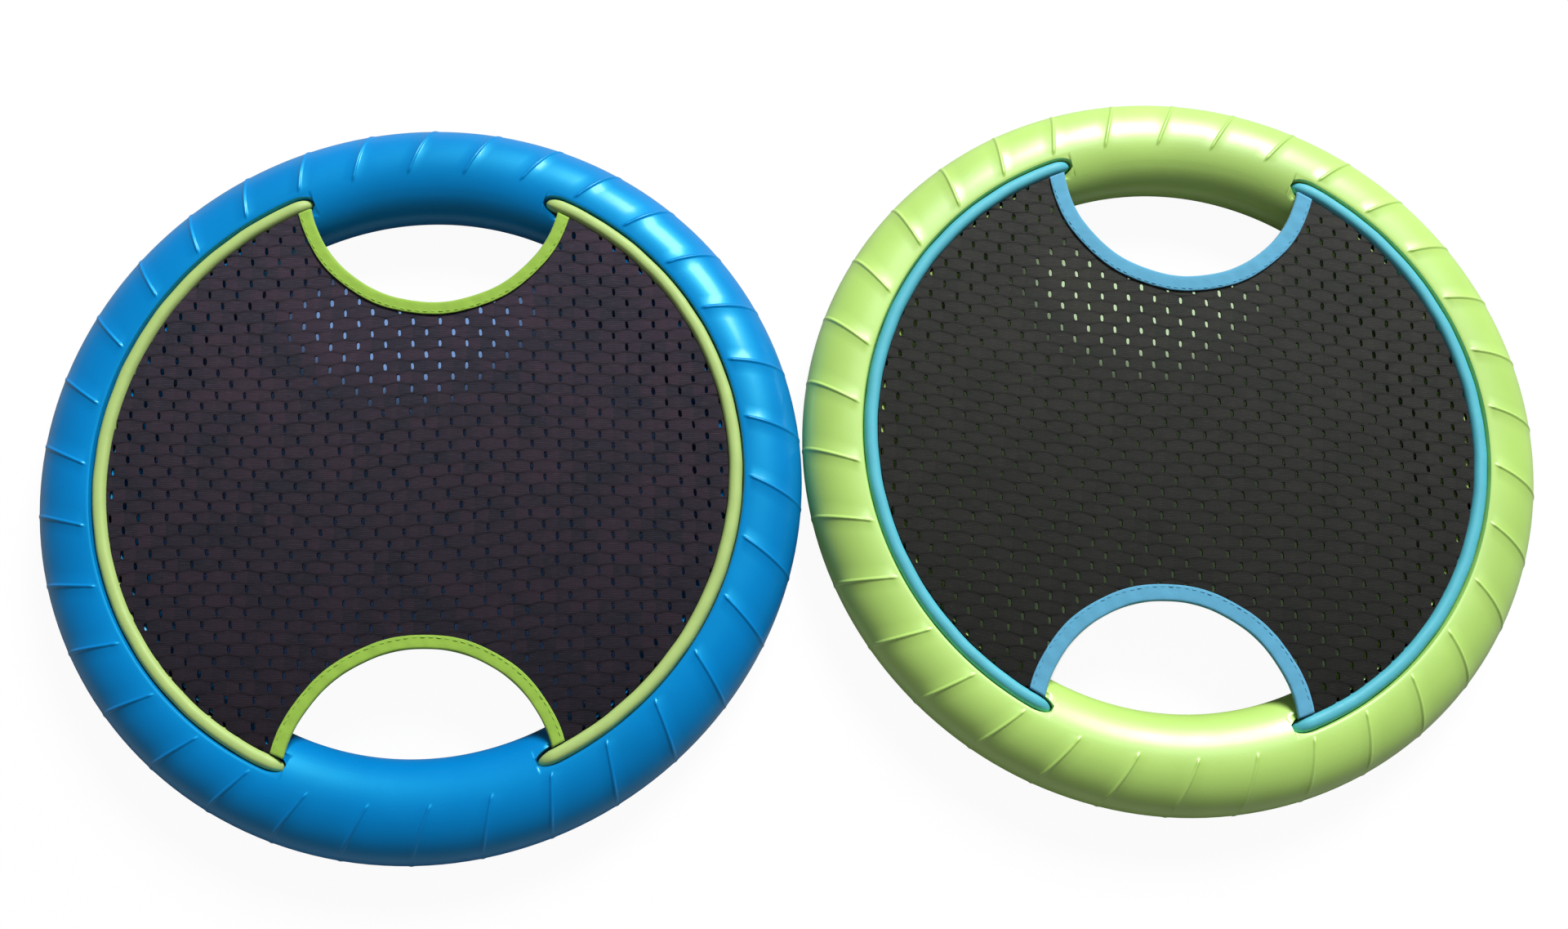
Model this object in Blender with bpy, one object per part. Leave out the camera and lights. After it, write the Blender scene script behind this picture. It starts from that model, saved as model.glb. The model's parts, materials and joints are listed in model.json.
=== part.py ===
"""A set of two round trampoline paddles, lying side by side with their nets upward.

Each paddle has an oval-section moulded rim with slanted raised ribs, a knitted net that is
stretched across its front, and two beads that press the net's edge into grooves in the rim.
Above and below the net a crescent-shaped opening leaves room for the fingers, and a folded
tape binds the net's edge there.

Units are metres. X runs along the pair, Y away from the viewer, Z up. The origin is on the
ground, midway between the two paddles.
"""
import math

import bmesh
import bpy
from mathutils import Vector

# Rim: a ring of oval section with a narrow flat foot underneath.
RIM_RADIUS = 0.1298
RIM_HALF_WIDTH = 0.0198
RIM_HALF_HEIGHT = 0.0155
FOOT_CUT = 0.00025

# Raised ribs from the rim's crest outward, a little closer together beside the openings.
RIB_COUNT = 34
RIB_HEIGHT = 0.0006
RIB_HALF_WIDTH = math.radians(0.32)
RIB_CROWDING = math.radians(0.95)
RIB_SLANT = math.radians(3.6)
RIB_START = math.radians(95)
RIB_END = math.radians(-72)

# Clearance between neighbouring pieces.
GAP = 0.0003

# Net: a thin plate with its border bent down into the rim's grooves. Its edge lies halfway
# between the rim's crest and its inner side, just above the rim's surface there.
NET_HEIGHT = 0.884 * RIM_HALF_HEIGHT
NET_THICKNESS = 0.0007
NET_RADIUS = RIM_RADIUS - RIM_HALF_WIDTH / 2
NET_BORDER_DEPTH = 0.0067
HOLE_PITCH_X = 0.0220
HOLE_PITCH_Y = 0.0150
HOLE_HALF_WIDTH = 0.0021
HOLE_HALF_LENGTH = 0.0044
HOLE_MARGIN = 0.0062

# Bead: an oval band that lies in the groove outside the net's border.
BEAD_HALF_WIDTH = 0.0027
BEAD_HALF_HEIGHT = 0.0044
BEAD_RADIUS = NET_RADIUS + GAP + BEAD_HALF_WIDTH
BEAD_HEIGHT = NET_HEIGHT - 0.0028
BEAD_SIDES = 8

# Groove in the rim's front, between an inner lip and a flared outer wall.
GROOVE_INNER = NET_RADIUS - NET_THICKNESS - GAP
GROOVE_OUTER = BEAD_RADIUS + BEAD_HALF_WIDTH + GAP
GROOVE_FLARE = 0.0014
GROOVE_FLOOR = BEAD_HEIGHT - BEAD_HALF_HEIGHT - GAP
GROOVE_END_ROUND = math.radians(1.6)
SIDE_STEPS = 24

# Tape folded over the net's cut edge.
TAPE_THICKNESS = 0.00045
TAPE_STEPS = 12
TAPE_SEAT_DROP = 0.0011

# Distance between the rims' smooth sides. The ribs of one do not meet the ribs of the other.
PAIR_GAP = 0.00075

# The pair lies side by side, each paddle turned a little about its own centre. The tapes'
# arcs are given as shares of the net's radius, and lean toward +X by a small angle.
PADDLES = {
    "blue": {
        "side": -1,
        "turn": math.radians(-2.1),
        "rib_phase": math.radians(8.6),
        "bead_end": math.radians(22.4),
        "tape_lean": math.radians(1.3),
        "tape_centre": 1.008 * NET_RADIUS,
        "tape_inner": 0.426 * NET_RADIUS,
        "tape_outer": 0.470 * NET_RADIUS,
        "rim_colour": (0.002, 0.25, 0.68, 1),
        "bead_colour": (0.48, 0.66, 0.23, 1),
        "tape_colour": (0.38, 0.70, 0.08, 1),
        "net_colour": (0.035, 0.025, 0.030, 1),
    },
    "green": {
        "side": 1,
        "turn": math.radians(-7.9),
        "rib_phase": math.radians(9.6),
        "bead_end": math.radians(22.3),
        "tape_lean": math.radians(-0.2),
        "tape_centre": 0.979 * NET_RADIUS,
        "tape_inner": 0.413 * NET_RADIUS,
        "tape_outer": 0.468 * NET_RADIUS,
        "rim_colour": (0.49, 0.77, 0.16, 1),
        "bead_colour": (0.12, 0.58, 0.70, 1),
        "tape_colour": (0.14, 0.47, 0.70, 1),
        "net_colour": (0.030, 0.028, 0.029, 1),
    },
}

GROUND_HEIGHT = RIM_HALF_HEIGHT - FOOT_CUT
CENTRE_OFFSET = RIM_RADIUS + RIM_HALF_WIDTH + PAIR_GAP / 2


def material(name, colour, roughness):
    """Make a material of one colour and roughness."""
    made = bpy.data.materials.new(name)
    made.use_nodes = True
    shader = made.node_tree.nodes["Principled BSDF"]
    shader.inputs["Base Color"].default_value = colour
    shader.inputs["Roughness"].default_value = roughness
    shader.inputs["Metallic"].default_value = 0.0
    return made


def polar(radius, angle, height):
    """Point at a radius and angle around the paddle's axis."""
    return Vector((radius * math.cos(angle), radius * math.sin(angle), height))


def finish(bm, name, parent, surface, sharp_angle):
    """Turn a bmesh into a named object with its faces outward."""
    bmesh.ops.recalc_face_normals(bm, faces=bm.faces)
    if bm.calc_volume(signed=True) < 0:
        bmesh.ops.reverse_faces(bm, faces=bm.faces)
    mesh = bpy.data.meshes.new(name)
    bm.to_mesh(mesh)
    bm.free()
    mesh.materials.append(surface)
    mesh.shade_smooth()
    mesh.set_sharp_from_angle(angle=math.radians(sharp_angle))
    made = bpy.data.objects.new(name, mesh)
    made.parent = parent
    bpy.context.collection.objects.link(made)
    return made


def join_rings(bm, first, second):
    """Join two closed rings of the same number of points with four-sided faces."""
    count = len(first)
    for i in range(count):
        j = (i + 1) % count
        bm.faces.new((first[i], first[j], second[j], second[i]))


def join_uneven_rings(bm, first, second):
    """Join two closed rings whose points lie at different angles, going round both."""
    def angle(vert):
        return math.atan2(vert.co.y, vert.co.x) % (2 * math.pi)

    first = sorted(first, key=angle)
    second = sorted(second, key=angle)
    turns_a = [angle(vert) for vert in first] + [angle(first[0]) + 2 * math.pi]
    turns_b = [angle(vert) for vert in second] + [angle(second[0]) + 2 * math.pi]
    i = j = 0
    while i < len(first) or j < len(second):
        a, b = first[i % len(first)], second[j % len(second)]
        if j == len(second) or (i < len(first) and turns_a[i + 1] <= turns_b[j + 1]):
            bm.faces.new((a, first[(i + 1) % len(first)], b))
            i += 1
        else:
            bm.faces.new((a, second[(j + 1) % len(second)], b))
            j += 1


def loft(bm, sections):
    """Skin a row of closed sections and cap both ends."""
    rings = [[bm.verts.new(point) for point in section] for section in sections]
    for first, second in zip(rings, rings[1:]):
        join_rings(bm, first, second)
    bm.faces.new(rings[0])
    bm.faces.new(rings[-1])


def oval_height(radius):
    """Height of the rim's upper surface at a distance from the paddle's axis."""
    share = (radius - RIM_RADIUS) / RIM_HALF_WIDTH
    return RIM_HALF_HEIGHT * math.sqrt(max(0.0, 1 - share * share))


def crossing(spec, arc_radius, reach, side):
    """Angle between the X axis and a tape arc's end on a circle, for the +X or the -X side."""
    centre = spec["tape_centre"]
    cosine = (reach ** 2 + centre ** 2 - arc_radius ** 2) / (2 * reach * centre)
    return math.pi / 2 - math.acos(cosine) - side * spec["tape_lean"]


def arc_spread(spec, arc_radius):
    """Half the angle that a tape arc covers about its own centre, out to the net's edge."""
    centre = spec["tape_centre"]
    cosine = (arc_radius ** 2 + centre ** 2 - NET_RADIUS ** 2) / (2 * arc_radius * centre)
    return math.acos(cosine)


def arc_point(spec, arc_radius, turn, end, height):
    """Point of a tape arc: turn runs about the arc's centre, end is 1 at the top, -1 below."""
    x = arc_radius * math.sin(turn)
    y = spec["tape_centre"] - arc_radius * math.cos(turn)
    lean = spec["tape_lean"]
    along = x * math.cos(lean) + y * math.sin(lean)
    up = y * math.cos(lean) - x * math.sin(lean)
    return Vector((along, end * up, height))


def side_angles(spec):
    """Angles of the evenly spaced steps along one groove, from its lower to its upper end."""
    half = math.pi / 2 - spec["bead_end"] + GAP / BEAD_RADIUS - GROOVE_END_ROUND
    return [half * (2 * i / SIDE_STEPS - 1) for i in range(SIDE_STEPS + 1)]


def groove_columns(spec):
    """Angle, width share and depth share of each column of points on the rim's inner half."""
    steps = side_angles(spec)
    half = steps[-1]
    ends = ((0.20, 0.98), (0.62, 0.80), (0.93, 0.40))
    columns = [(angle, 1.0, 1.0) for angle in steps]
    for share, width in ends:
        for sign in (-1, 1):
            columns.append((sign * (half + share * GROOVE_END_ROUND), width, 1.0))
    for sign in (-1, 1):
        columns.append((sign * (half + GROOVE_END_ROUND), 0.3, 0.0))
    columns.sort()
    opposite = [(angle + math.pi, width, depth) for angle, width, depth in columns]
    handle_half = math.pi / 2 - half - GROOVE_END_ROUND
    handle = [handle_half * share for share in (-0.8, -0.4, 0.0, 0.4, 0.8)]
    top = [(math.pi / 2 + angle, 0.0, 0.0) for angle in handle]
    bottom = [(3 * math.pi / 2 + angle, 0.0, 0.0) for angle in handle]
    return columns + top + opposite + bottom


def lip_height(spec, angle):
    """Height of the groove's inner lip, lower where the tape passes over it."""
    side = math.copysign(1, math.cos(angle))
    tape = crossing(spec, spec["tape_outer"], NET_RADIUS, side)
    folded = abs((angle + math.pi / 2) % math.pi - math.pi / 2)
    drop = TAPE_SEAT_DROP if folded > tape - math.radians(4) else 0.0
    return oval_height(GROOVE_INNER) - drop


def make_rim(spec, parent, name, surface):
    """Loft the rim around its ring, with ribs outside and grooves inside."""
    bm = bmesh.new()
    foot = math.asin(GROUND_HEIGHT / RIM_HALF_HEIGHT)
    outer_rows = [RIB_START] + [math.radians(v) for v in (88, 72, 50, 26, 0, -38)]
    outer_rows += [RIB_END, -foot]
    spacing = 2 * math.pi / RIB_COUNT
    offsets = (-RIB_HALF_WIDTH, 0.0, RIB_HALF_WIDTH, spacing / 2)
    rings = []
    for v in outer_rows:
        raised = RIB_HEIGHT if RIB_END < v < RIB_START else 0.0
        ring = []
        for k in range(RIB_COUNT):
            turn = spec["rib_phase"] + k * spacing
            turn += RIB_CROWDING * math.sin(2 * turn) - RIB_SLANT * math.cos(v)
            for offset in offsets:
                height = raised if offset == 0.0 else 0.0
                angle = turn + offset
                radius = RIM_RADIUS + (RIM_HALF_WIDTH + height) * math.cos(v)
                z = (RIM_HALF_HEIGHT + height) * math.sin(v)
                ring.append(bm.verts.new(polar(radius, angle, z)))
        rings.append(ring)
    for first, second in zip(rings, rings[1:]):
        join_rings(bm, first, second)

    columns = groove_columns(spec)
    inner = []
    for v in [foot - math.pi] + [math.radians(v) for v in (-130, -158, 175, 150)]:
        radius = RIM_RADIUS + RIM_HALF_WIDTH * math.cos(v)
        z = RIM_HALF_HEIGHT * math.sin(v)
        inner.append([bm.verts.new(polar(radius, column[0], z)) for column in columns])
    middle = (GROOVE_INNER + GROOVE_OUTER) / 2
    half = (GROOVE_OUTER - GROOVE_INNER) / 2
    lip_in, floor_in, floor_out, lip_out = [], [], [], []
    for angle, width, depth in columns:
        share = width if width > 0 else 1.0
        near, far = middle - half * share, middle + half * share
        flare = far + GROOVE_FLARE * share
        rim_height = lip_height(spec, angle) if width > 0.9 else oval_height(near)
        bed_in = near if depth else near + half * share * 0.6
        bed_out = far if depth else far - half * share * 0.6
        low = GROOVE_FLOOR
        lip_in.append(bm.verts.new(polar(near, angle, rim_height)))
        floor_in.append(bm.verts.new(polar(bed_in, angle, low if depth else oval_height(bed_in))))
        floor_out.append(bm.verts.new(polar(bed_out, angle, low if depth else oval_height(bed_out))))
        lip_out.append(bm.verts.new(polar(flare, angle, oval_height(flare))))
    inner += [lip_in, floor_in, floor_out, lip_out]
    for first, second in zip(inner, inner[1:]):
        join_rings(bm, first, second)
    join_uneven_rings(bm, rings[0], inner[-1])
    join_uneven_rings(bm, rings[-1], inner[0])
    return finish(bm, name, parent, surface, 35)


def make_bead(spec, parent, name, surface, side):
    """Sweep the oval bead along its groove, with tapered ends."""
    steps = side_angles(spec)
    end = math.pi / 2 - spec["bead_end"]
    taper = ((0.0, 0.30), (0.18, 0.58), (0.55, 0.84))
    path = [(angle, 1.0) for angle in steps[1:-1]]
    for share, scale in taper:
        for sign in (-1, 1):
            path.append((sign * (end - share * (end - steps[-2])), scale))
    path.sort()
    sections = []
    for angle, scale in path:
        section = []
        for k in range(BEAD_SIDES):
            v = 2 * math.pi * (k + 0.5) / BEAD_SIDES
            grow = 1 / math.cos(math.pi / BEAD_SIDES)
            across = max(-1, min(1, grow * math.cos(v))) * BEAD_HALF_WIDTH * scale
            up = max(-1, min(1, grow * math.sin(v))) * BEAD_HALF_HEIGHT * scale
            section.append(polar(BEAD_RADIUS + across, angle + side, BEAD_HEIGHT + up))
        sections.append(section)
    bm = bmesh.new()
    loft(bm, sections)
    return finish(bm, name, parent, surface, 60)


def make_tape(spec, parent, name, surface, end):
    """Sweep the folded tape along the net's curved edge, trimmed where it meets the beads."""
    low = NET_HEIGHT - NET_THICKNESS / 2 - GAP
    high = NET_HEIGHT + NET_THICKNESS / 2 + GAP
    near, far = spec["tape_inner"], spec["tape_outer"]
    web = near + TAPE_THICKNESS
    profile = (
        (near, low - TAPE_THICKNESS), (far, low - TAPE_THICKNESS), (far, low), (web, low),
        (web, high), (far, high), (far, high + TAPE_THICKNESS), (near, high + TAPE_THICKNESS),
    )
    sections = []
    for i in range(TAPE_STEPS + 1):
        share = 2 * i / TAPE_STEPS - 1
        section = []
        for radius, height in profile:
            turn = share * arc_spread(spec, radius)
            section.append(arc_point(spec, radius, turn, end, height))
        sections.append(section)
    bm = bmesh.new()
    loft(bm, sections)
    return finish(bm, name, parent, surface, 40)


def net_outline(spec):
    """Corner-by-corner outline of the net: angle on the rim side, or None along a tape."""
    edge = spec["tape_inner"] + TAPE_THICKNESS + GAP
    spread = arc_spread(spec, edge)
    arc = [spread * (1 - 2 * i / TAPE_STEPS) for i in range(1, TAPE_STEPS)]
    outline = []
    for side, start in ((1, 0.0), (-1, math.pi)):
        corner = crossing(spec, edge, NET_RADIUS, side)
        inside = [a for a in side_angles(spec) if abs(a) < corner - math.radians(1)]
        outline += [(polar(NET_RADIUS, a + start, 0), a + start) for a in [-corner] + inside + [corner]]
        outline += [(arc_point(spec, edge, side * turn, side, 0), None) for turn in arc]
    return outline


def clear_of_tape(spec, angle):
    """Tell whether the net's border at an angle lies between the ends of the two tapes."""
    side = math.copysign(1, math.cos(angle))
    tape = crossing(spec, spec["tape_outer"], NET_RADIUS, side)
    return abs((angle + math.pi / 2) % math.pi - math.pi / 2) < tape - math.radians(1)


def make_net(spec, parent, name, surface):
    """Build the net's plate with its bent-down borders, before the holes are cut."""
    low = NET_HEIGHT - NET_THICKNESS / 2
    high = NET_HEIGHT + NET_THICKNESS / 2
    bm = bmesh.new()
    rows = []
    for point, angle in net_outline(spec):
        bent = angle is not None and clear_of_tape(spec, angle)
        inward = point * (1 - NET_THICKNESS / NET_RADIUS) if bent else point
        top = bm.verts.new(point + Vector((0, 0, high)))
        plate = bm.verts.new(inward + Vector((0, 0, low)))
        border = None
        if bent:
            foot = Vector((0, 0, high - NET_BORDER_DEPTH))
            border = (bm.verts.new(point + foot), bm.verts.new(inward + foot))
        rows.append((top, plate, border))
    bm.faces.new([row[0] for row in rows])
    bm.faces.new([row[1] for row in reversed(rows)])
    for i, (top, plate, border) in enumerate(rows):
        next_top, next_plate, next_border = rows[(i + 1) % len(rows)]
        if border and next_border:
            bm.faces.new((top, border[0], next_border[0], next_top))
            bm.faces.new((border[0], border[1], next_border[1], next_border[0]))
            bm.faces.new((border[1], plate, next_plate, next_border[1]))
            continue
        bm.faces.new((top, plate, next_plate, next_top))
        if border:
            bm.faces.new((top, border[0], border[1], plate))
        if next_border:
            bm.faces.new((next_top, next_plate, next_border[1], next_border[0]))
    return finish(bm, name, parent, surface, 40)


def make_hole_cutter(spec, parent, name):
    """Make one diamond-shaped prism for each opening in the knit, in staggered rows."""
    bm = bmesh.new()
    rows = int(NET_RADIUS / HOLE_PITCH_Y) + 1
    columns = int(NET_RADIUS / HOLE_PITCH_X) + 1
    corners = ((HOLE_HALF_WIDTH, 0), (0, HOLE_HALF_LENGTH), (-HOLE_HALF_WIDTH, 0), (0, -HOLE_HALF_LENGTH))
    centre = arc_point(spec, 0.0, 0.0, 1, 0.0)
    for row in range(-rows, rows + 1):
        for column in range(-columns, columns + 1):
            x = (column + (row % 2) / 2) * HOLE_PITCH_X
            y = row * HOLE_PITCH_Y
            to_tape = math.hypot(x - centre.x, abs(y) - centre.y) - spec["tape_outer"]
            if math.hypot(x, y) > NET_RADIUS - HOLE_MARGIN or to_tape < HOLE_MARGIN:
                continue
            rings = []
            for z in (NET_HEIGHT - 0.002, NET_HEIGHT + 0.002):
                rings.append([bm.verts.new((x + dx, y + dy, z)) for dx, dy in corners])
            join_rings(bm, rings[0], rings[1])
            bm.faces.new(rings[0])
            bm.faces.new(rings[1])
    cutter = finish(bm, name, parent, material(name, (0.5, 0.5, 0.5, 1), 0.5), 30)
    cutter.hide_render = True
    cutter.display_type = "WIRE"
    return cutter


def make_paddle(colour, spec):
    """Build one paddle around its own empty."""
    parent = bpy.data.objects.new(colour + "_paddle", None)
    parent.location = (spec["side"] * CENTRE_OFFSET, 0, GROUND_HEIGHT)
    parent.rotation_euler = (0, 0, spec["turn"])
    bpy.context.collection.objects.link(parent)

    rim_surface = material(colour + "_rim_plastic", spec["rim_colour"], 0.28)
    bead_surface = material(colour + "_bead_plastic", spec["bead_colour"], 0.5)
    tape_surface = material(colour + "_tape_fabric", spec["tape_colour"], 0.8)
    net_surface = material(colour + "_net_fabric", spec["net_colour"], 0.85)

    make_rim(spec, parent, colour + "_rim", rim_surface)
    make_bead(spec, parent, colour + "_bead_right", bead_surface, 0.0)
    make_bead(spec, parent, colour + "_bead_left", bead_surface, math.pi)
    make_tape(spec, parent, colour + "_tape_top", tape_surface, 1)
    make_tape(spec, parent, colour + "_tape_bottom", tape_surface, -1)

    net = make_net(spec, parent, colour + "_net", net_surface)
    holes = net.modifiers.new("holes", "BOOLEAN")
    holes.operation = "DIFFERENCE"
    holes.solver = "EXACT"
    holes.object = make_hole_cutter(spec, parent, colour + "_hole_cutter")


def main():
    """Clear the scene and build both paddles."""
    for item in list(bpy.data.objects):
        bpy.data.objects.remove(item, do_unlink=True)
    for colour, spec in PADDLES.items():
        make_paddle(colour, spec)


main()
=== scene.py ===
"""Visual model of a pair of round trampoline paddles.

Each paddle lies on the floor with its net up: a ribbed moulded rim, a knitted net stretched
across it, two plastic beads that hold the net in grooves, and a sewn tape around each of the
net's two arcs.
"""
import json
import math

import bmesh
import bpy
import numpy as np
from mathutils import Matrix, Vector


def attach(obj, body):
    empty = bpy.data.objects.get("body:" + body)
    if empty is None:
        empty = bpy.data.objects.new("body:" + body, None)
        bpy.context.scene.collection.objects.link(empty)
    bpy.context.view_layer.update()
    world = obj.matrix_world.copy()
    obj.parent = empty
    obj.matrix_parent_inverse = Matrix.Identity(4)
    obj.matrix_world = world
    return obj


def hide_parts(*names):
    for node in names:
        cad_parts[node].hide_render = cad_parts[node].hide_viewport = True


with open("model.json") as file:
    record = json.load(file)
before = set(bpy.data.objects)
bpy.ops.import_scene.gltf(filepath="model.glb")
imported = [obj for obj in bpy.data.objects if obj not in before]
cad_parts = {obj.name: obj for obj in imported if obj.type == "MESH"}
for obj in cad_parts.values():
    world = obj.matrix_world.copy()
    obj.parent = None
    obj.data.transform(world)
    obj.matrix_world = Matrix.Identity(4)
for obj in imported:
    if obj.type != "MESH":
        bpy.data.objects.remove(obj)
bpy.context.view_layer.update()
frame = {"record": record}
# The green paddle's foot: below the point of the rim's centre line that is nearest the viewer.
FOOT = next(mount["pos_m"] for mount in frame["record"]["mounts"] if mount["name"] == "green_foot")

bl_info = {
    "name": "Trampoline Paddle Set",
    "version": (1, 0, 0),
    "blender": (4, 5, 0),
    "location": "3D View > Sidebar > Paddles",
    "description": "Builds the ribbed rims, nets, beads and tapes of a trampoline paddle set",
    "category": "Add Mesh",
}

MM = 0.001
COLOURS = ("blue", "green")
SIDES = {"right": 0.0, "left": math.pi}
ENDS = {"top": 1, "bottom": -1}
# Length of a bead's pointed end in half widths, how blunt it is, and the shares of the way
# along it that get a ring of points.
BEAD_TAPER = 3.0
BEAD_BLUNT = 2.0
END_SHARES = [math.sin(k / 9.5 * math.pi / 2) for k in range(1, 10)]
# Depth of the net's border in the groove, thickness of a tape's cloth, and distance of the
# stitches from its sewn edge.
BORDER_DEPTH = 6.5 * MM
TAPE_CLOTH = 0.42 * MM
STITCH_INSET = 1.0 * MM


# Sizes and colours that a user may change.

def length(name, description, default):
    """Describe a length in metres."""
    return bpy.props.FloatProperty(
        name=name, description=description, default=default, unit="LENGTH", precision=5)


def angle(name, description, degrees):
    """Describe an angle that is given in degrees."""
    return bpy.props.FloatProperty(
        name=name, description=description, default=math.radians(degrees), unit="ROTATION")


def tint(name, description, default):
    """Describe a linear colour."""
    return bpy.props.FloatVectorProperty(
        name=name, description=description, default=default, subtype="COLOR",
        size=3, min=0.0, max=1.0)


class PaddleSizes(bpy.types.PropertyGroup):
    """Sizes that both paddles share."""

    rim_radius: length("Rim radius", "Centre line of the rim", -FOOT[1])
    rim_half_width: length("Rim half width", "Half the width of the rim's section", 0.0198)
    rim_half_height: length("Rim half height", "Half the height of the rim's section", 0.0155)
    foot_cut: length("Foot cut", "Depth of the flat under the rim", 0.00025)
    rib_height: length("Rib height", "How far the ribs stand out", 0.0006)
    rib_half_width: length("Rib half width", "Half the width of a rib at its foot", 0.00125)
    rib_crowding: angle("Rib crowding", "Most that a rib is shifted toward the openings", 0.95)
    rib_slant: angle("Rib slant", "Turn of a rib between the crest and the outer edge", 3.6)
    rib_count: bpy.props.IntProperty(name="Ribs", description="Ribs around the rim", default=34)
    net_radius: length("Net radius", "Edge of the net in the grooves", 0.1199)
    net_height: length("Net height", "Height of the net above the rim's middle", 0.0137)
    net_thickness: length("Net thickness", "Thickness of the knit", 0.0007)
    bead_half_width: length("Bead half width", "Half the width of a bead", 0.0027)
    bead_half_height: length("Bead half height", "Half the height of a bead", 0.0044)
    bead_drop: length("Bead drop", "How far the bead's middle lies below the net", 0.0028)
    centre_offset: length("Centre offset", "Distance of each paddle from the origin", FOOT[0])
    gap: length("Gap", "Clearance between neighbouring pieces", 0.0003)


class PaddleLook(bpy.types.PropertyGroup):
    """Layout and colours of one paddle."""

    turn: angle("Turn", "Turn of the paddle about its own axis", 0.0)
    rib_phase: angle("Rib phase", "Angle of the first rib", 9.0)
    bead_end: angle("Bead end", "Angle between the finger openings' axis and a bead's end", 23.0)
    tape_lean: angle("Tape lean", "Turn of both tape arcs toward the right", 0.0)
    tape_centre: length("Tape arc centre", "Distance of the arc's centre from the axis", 0.12)
    tape_inner: length("Tape arc, opening side", "Radius of the tape's free edge", 0.05)
    tape_outer: length("Tape arc, net side", "Radius of the tape's sewn edge", 0.055)
    rim_tint: tint("Rim", "Colour of the rim", (0.0, 0.2, 0.7))
    shine_tint: tint("Shine", "Colour of the rim's highlights", (1.0, 1.0, 1.0))
    bead_tint: tint("Bead", "Colour of the beads", (0.4, 0.7, 0.1))
    tape_tint: tint("Tape", "Colour of the tapes", (0.4, 0.7, 0.1))
    net_tint: tint("Net", "Colour of the net", (0.03, 0.03, 0.03))
    patch_tint: tint("Patches", "Colour of the net's other stitches", (0.03, 0.02, 0.03))
    yarn_tint: tint("Yarn", "Colour of the net's lighter yarns", (0.05, 0.04, 0.05))
    # Painted light: the floor under the net is coloured to stand for the light that the rim throws
    # there, and that patch is shifted sideways.
    rim_light_tint: tint("Floor tint", "Colour of the floor that shows through the net",
                     (0.2, 0.3, 0.6))
    rim_light_shift: length("Tint shift", "Sideways shift of the floor's tint under the net", 0.0)


class PaddleSet(bpy.types.PropertyGroup):
    """Everything that the panel shows."""

    sizes: bpy.props.PointerProperty(type=PaddleSizes)
    blue: bpy.props.PointerProperty(type=PaddleLook)
    green: bpy.props.PointerProperty(type=PaddleLook)


def settle_looks(paddles):
    """Give the two paddles their own layout and colours."""
    blue, green = paddles.blue, paddles.green
    blue.turn, green.turn = math.radians(-2.1), math.radians(-7.9)
    blue.rib_phase, green.rib_phase = math.radians(8.6), math.radians(9.6)
    blue.bead_end, green.bead_end = math.radians(22.4), math.radians(22.3)
    blue.tape_lean, green.tape_lean = math.radians(1.3), math.radians(-0.2)
    net_radius = paddles.sizes.net_radius
    blue.tape_centre, green.tape_centre = 1.008 * net_radius, 0.979 * net_radius
    blue.tape_inner, green.tape_inner = 0.426 * net_radius, 0.413 * net_radius
    blue.tape_outer, green.tape_outer = 0.470 * net_radius, 0.468 * net_radius
    blue.rim_tint, green.rim_tint = (0.0, 0.205, 0.575), (0.47, 0.74, 0.16)
    blue.shine_tint, green.shine_tint = (0.04, 0.90, 1.0), (0.9, 1.0, 0.9)
    blue.bead_tint, green.bead_tint = (0.43, 0.60, 0.19), (0.095, 0.49, 0.60)
    blue.tape_tint, green.tape_tint = (0.30, 0.51, 0.065), (0.11, 0.39, 0.59)
    blue.net_tint, green.net_tint = (0.032, 0.032, 0.045), (0.040, 0.043, 0.039)
    blue.patch_tint, green.patch_tint = (0.056, 0.039, 0.057), (0.049, 0.048, 0.044)
    blue.yarn_tint, green.yarn_tint = (0.082, 0.063, 0.086), (0.075, 0.076, 0.071)
    # Painted light under the nets: the colour of the light that each rim throws on the floor, and its
    # sideways shift.
    blue.rim_light_tint, green.rim_light_tint = (0.20, 0.34, 0.64), (0.54, 0.70, 0.44)
    blue.rim_light_shift, green.rim_light_shift = -5 * MM, 9 * MM


# Shared geometry.

def polar(radius, turn, height):
    """Point at a radius and angle around the paddle's axis."""
    return Vector((radius * math.cos(turn), radius * math.sin(turn), height))


def smooth_step(low, high, value):
    """Rise from 0 at low to 1 at high with level ends."""
    share = np.clip((value - low) / (high - low), 0.0, 1.0)
    return share * share * (3 - 2 * share)


def oval_height(sizes, radius):
    """Height of the rim's upper surface at a distance from the paddle's axis."""
    share = (radius - sizes.rim_radius) / sizes.rim_half_width
    return sizes.rim_half_height * np.sqrt(np.clip(1 - share * share, 0, 1))


def ground_depth(sizes):
    """Depth of the floor below the rims' middle plane."""
    return sizes.rim_half_height - sizes.foot_cut


def bead_radius(sizes):
    """Radius of the beads' centre line."""
    return sizes.net_radius + sizes.gap + sizes.bead_half_width


def crossing(look, arc_radius, reach, side):
    """Angle between the X axis and a tape arc's end on a circle, for the +X or the -X side."""
    centre = look.tape_centre
    cosine = (reach ** 2 + centre ** 2 - arc_radius ** 2) / (2 * reach * centre)
    return math.pi / 2 - math.acos(cosine) - side * look.tape_lean


def arc_spread(look, arc_radius, reach):
    """Half the angle of a tape arc, seen from its own centre, inside a circle of that reach."""
    centre = look.tape_centre
    cosine = (arc_radius ** 2 + centre ** 2 - reach ** 2) / (2 * arc_radius * centre)
    return math.acos(cosine)


def tape_point(look, sign, radius, turn, height):
    """Point on a tape, given by the radius and angle on its own arc."""
    x = radius * math.sin(turn)
    y = look.tape_centre - radius * math.cos(turn)
    c, n = math.cos(look.tape_lean), math.sin(look.tape_lean)
    return Vector((x * c + y * n, sign * (y * c - x * n), height))


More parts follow.
